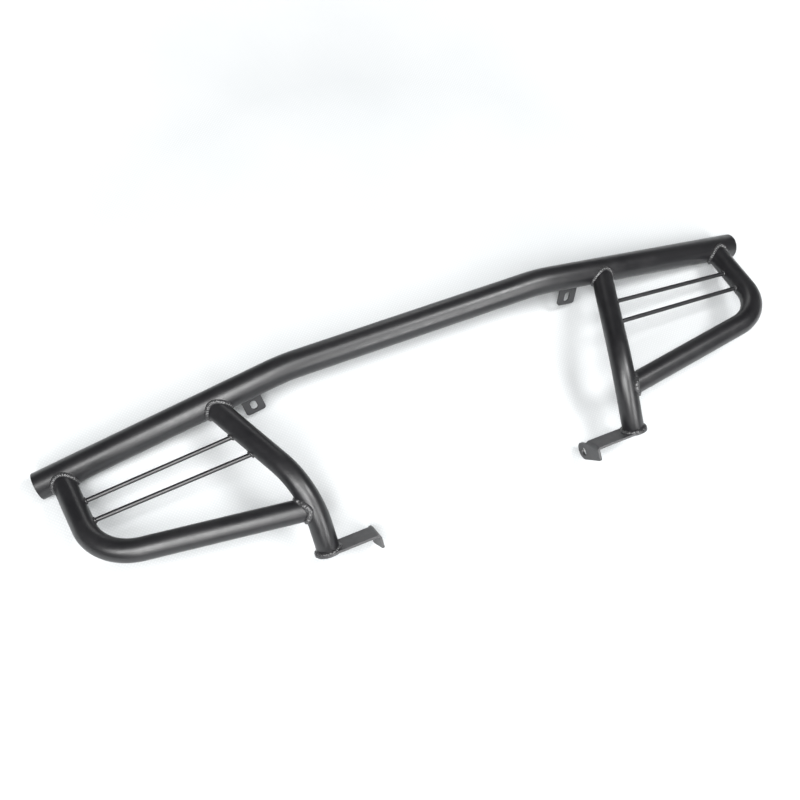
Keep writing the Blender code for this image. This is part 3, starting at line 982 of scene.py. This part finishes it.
def cloth():
    """Pale woven cloth with painted shade in its hollows and folds and painted light far out, seen from
    its front only.
    """
    nodes = Nodes("studio_cloth")
    place = nodes.add("ShaderNodeTexCoord").outputs["Object"]
    weave = woven(nodes, place)
    folds = nodes.noise(place, FOLD_SCALE, detail=3)
    reach = nodes.add("ShaderNodeVectorMath", {"operation": "LENGTH"}, Vector=place).outputs["Value"]

    # Painted light and shade of slow folds: the tone swings between the shaded and the lit colour.
    tone = nodes.mix(nodes.spread(folds, *NOISE_RANGE, 0, 1), CLOTH_FOLD_SHADE, CLOTH_FOLD_LIT)
    # Painted shade in the hollows between the threads.
    tone = nodes.mix(nodes.spread(weave, 0, THREAD_TOP, HOLLOW_SHADE_STRENGTH, 0), tone, CLOTH_HOLLOW_SHADE)
    # Painted light: the cloth grows paler far from the floor's middle under the guard, where the soft
    # boxes light it less.
    tone = nodes.mix(nodes.spread(reach, *PAINTED_LIGHT_REACH, 0, 1), tone, CLOTH_PAINTED_LIGHT)
    nodes.put(tone, nodes.shader.inputs["Base Color"])
    nodes.put(nodes.spread(folds, *NOISE_RANGE, *CLOTH_ROUGHNESS), nodes.shader.inputs["Roughness"])
    nodes.put(CLOTH_SHINE, nodes.shader.inputs["Specular IOR Level"])
    nodes.put(nodes.bump(weave, WEAVE_BUMP, WEAVE_DEPTH), nodes.shader.inputs["Normal"])
    clear_from_behind(nodes)
    return nodes.material


# ---------------------------------------------------------------- assembly


def check_box(piece, node):
    """Stops the script if a piece doesn't stand where its CAD node does."""
    bpy.context.view_layer.update()
    shape = piece.evaluated_get(bpy.context.evaluated_depsgraph_get())
    corners = [Vector(corner) for corner in shape.bound_box]
    low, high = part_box(node)
    for axis in range(3):
        places = [corner[axis] for corner in corners]
        if max(abs(min(places) - low[axis]), abs(max(places) - high[axis])) > BOX_MATCH:
            raise ValueError(f"the box of {piece.name} isn't that of {node}")


def dress(piece, node, kind, coats):
    """Coats a finished piece and puts it in its CAD node's stead."""
    piece.data.materials.append(coats[kind])
    check_box(piece, node)
    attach(piece, "root")
    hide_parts(node)


def add_tube_welds(add, side, main, upright, hoop):
    """The welds at the ends of an upright and a hoop."""
    on_main = (main, MAIN_R, FRAME_R, BEAD_STEPS)
    add("weld", bead, "weld_upright_base", joint_stations(upright, *on_main), BEAD_R)
    add("weld", bead, "weld_hoop_base", joint_stations(hoop, *on_main), BEAD_R)
    top = joint_stations(hoop, upright, FRAME_R, FRAME_R, BEAD_STEPS, at_end=True)
    middle = middle_of(top)
    flare = towards(middle - HOOP_BEHIND, middle, TOP_BEAD_FLARE)
    add("weld", bead, "weld_hoop_top", top, TOP_BEAD_R, flare=flare, rough=TOP_BEAD_ROUGH)
    add("weld", bead, "weld_foot", foot_stations(side), BEAD_R, rough=FOOT_BEAD_ROUGH)


def add_rod(add, which, side, upright, hoop):
    """A cross rod and its two welds."""
    ends = rod_ends(which, side)
    add("rod", rod, f"rod_{which}", ends, upright, hoop)
    inner = joint_stations(ends, upright, FRAME_R, ROD_R, ROD_BEAD_STEPS)
    flare = towards(upright[0], middle_of(inner), ROD_BEAD_FLARE)
    add("weld", bead, f"weld_rod_{which}_inner", inner, ROD_BEAD_R, flare=flare)
    outer = joint_stations(ends, hoop, FRAME_R, ROD_R, ROD_BEAD_STEPS, at_end=True)
    add("weld", bead, f"weld_rod_{which}_outer", outer, ROD_BEAD_R)


def build_side(side, word, main, coats):
    """Everything on one side of the guard."""

    def add(kind, make, name, *details, **settings):
        node = f"{name}_{word}"
        dress(make(node, *details, **settings), node, kind, coats)

    upright = upright_path(side)
    hoop = hoop_path(side)
    on_main = (main, MAIN_R - EMBED)
    on_upright = (upright, FRAME_R - EMBED)
    add("cap", end_cap, "end_cap", side)
    add("tube", frame_tube, "upright", upright, cope_start=on_main)
    add("tube", frame_tube, "hoop", hoop, cope_start=on_main, cope_end=on_upright)
    add_tube_welds(add, side, main, upright, hoop)
    for which in ROD_SHARES:
        add_rod(add, which, side, upright, hoop)
    add("plate", fixing_tab, "fixing_tab", side)
    add("weld", bead, "weld_tab", tab_stations(side), TAB_BEAD_R)
    add("plate", foot_bracket, "foot_bracket", side)


def build_guard():
    """The bumper tube and both sides."""
    coats = {kind: powder_coat(f"{kind}_powder_coat", coat) for kind, coat in COATS.items()}
    main = main_path()
    main_tube = tube("main_tube", main, MAIN_R, MAIN_WALL, MAIN_SIDES)
    dress(main_tube, "main_tube", "tube", coats)
    build_side(1, "left", main, coats)
    build_side(-1, "right", main, coats)


# ---------------------------------------------------------------- stage


def floor_directions():
    """The leaning floor's normal, towards the camera, and its two directions in the plane."""
    normal = Vector((0, -math.cos(FLOOR_LEAN), math.sin(FLOOR_LEAN)))
    sideways = Vector((1, 0, 0))
    return normal, sideways, normal.cross(sideways)


def floor_depth():
    """How far behind the datum the floor lies, so that it just clears the rearmost CAD points."""
    normal, _, _ = floor_directions()
    depth = 0.0
    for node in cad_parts.values():
        for vertex in node.data.vertices:
            depth = max(depth, -normal.dot(vertex.co - DATUM))
    return depth + FLOOR_CLEARANCE


def make_floor():
    """A square of cloth under the guard, its origin behind the datum."""
    normal, sideways, upward = floor_directions()
    mesh = bmesh.new()
    half = FLOOR_SIZE / 2
    places = ((-half, -half), (half, -half), (half, half), (-half, half))
    corners = [mesh.verts.new((x, y, 0)) for x, y in places]
    mesh.faces.new(corners)
    data = bpy.data.meshes.new("studio_floor")
    mesh.to_mesh(data)
    mesh.free()
    data.materials.append(cloth())
    floor = bpy.data.objects.new("studio_floor", data)
    bpy.context.scene.collection.objects.link(floor)
    turn = Matrix((sideways, upward, normal)).transposed().to_4x4()
    floor.matrix_world = Matrix.Translation(DATUM - normal * floor_depth()) @ turn


def softbox(name, azimuth, height, power, size=SOFTBOX_SIZE):
    """An area light over the floor: azimuth from +X in the floor's plane, height above it."""
    normal, sideways, upward = floor_directions()
    azimuth, height = math.radians(azimuth), math.radians(height)
    flat = sideways * math.cos(azimuth) + upward * math.sin(azimuth)
    direction = flat * math.cos(height) + normal * math.sin(height)
    lamp = bpy.data.lights.new(name, "AREA")
    lamp.shape = "SQUARE"
    lamp.size = size
    lamp.energy = power
    obj = bpy.data.objects.new(name, lamp)
    obj.location = DATUM + direction * SOFTBOX_DISTANCE
    obj.rotation_mode = "QUATERNION"
    obj.rotation_quaternion = (-direction).to_track_quat("-Z", "Y")
    bpy.context.scene.collection.objects.link(obj)


def make_lights():
    """Soft light over the side of the floor that is nearer to the camera, and a faint fill opposite."""
    softbox("left_high_softbox", azimuth=26, height=60, power=62)
    softbox("left_low_softbox", azimuth=20, height=42, power=68)
    softbox("centre_high_softbox", azimuth=54, height=60, power=82)
    softbox("centre_low_softbox", azimuth=60, height=42, power=76)
    softbox("overhead_softbox", azimuth=90, height=80, power=44)
    softbox("right_high_softbox", azimuth=157, height=61, power=112, size=SHARP_SOFTBOX_SIZE)
    softbox("right_low_softbox", azimuth=118, height=43, power=62)
    softbox("front_left_softbox", azimuth=70, height=22, power=26)
    softbox("front_right_softbox", azimuth=108, height=23, power=76)
    softbox("fill_softbox", azimuth=254, height=12, power=16)


def make_world():
    """White to the camera, a faint glow to everything else."""
    world = bpy.data.worlds.new("studio")
    world.use_nodes = True
    tree = world.node_tree
    path = tree.nodes.new("ShaderNodeLightPath")
    spread = tree.nodes.new("ShaderNodeMapRange")
    spread.inputs["To Min"].default_value = WORLD_GLOW
    spread.inputs["To Max"].default_value = 1.0
    tree.links.new(path.outputs["Is Camera Ray"], spread.inputs["Value"])
    backdrop = tree.nodes["Background"]
    backdrop.inputs["Color"].default_value = (1, 1, 1, 1)
    tree.links.new(spread.outputs["Result"], backdrop.inputs["Strength"])
    bpy.context.scene.world = world


def make_camera():
    """A camera that looks at a point near the middle of the guard."""
    level = math.cos(CAMERA_ELEVATION)
    x, y = math.sin(CAMERA_AZIMUTH) * level, -math.cos(CAMERA_AZIMUTH) * level
    back = Vector((x, y, math.sin(CAMERA_ELEVATION)))
    data = bpy.data.cameras.new("camera")
    data.lens = CAMERA_LENS
    data.sensor_width = CAMERA_SENSOR
    data.clip_start, data.clip_end = CAMERA_CLIP
    camera = bpy.data.objects.new("camera", data)
    bpy.context.scene.collection.objects.link(camera)
    camera.location = DATUM + CAMERA_AIM + back * CAMERA_DISTANCE
    camera.rotation_mode = "QUATERNION"
    unrolled = (-back).to_track_quat("-Z", "Y")
    camera.rotation_quaternion = unrolled @ Quaternion((0, 0, 1), CAMERA_ROLL)
    bpy.context.scene.camera = camera


def set_view():
    """Plain colours, without a film look."""
    view = bpy.context.scene.view_settings
    view.view_transform = "Standard"
    view.look = "None"
    view.exposure = 0
    view.gamma = 1


build_guard()
make_floor()
make_lights()
make_world()
make_camera()
set_view()
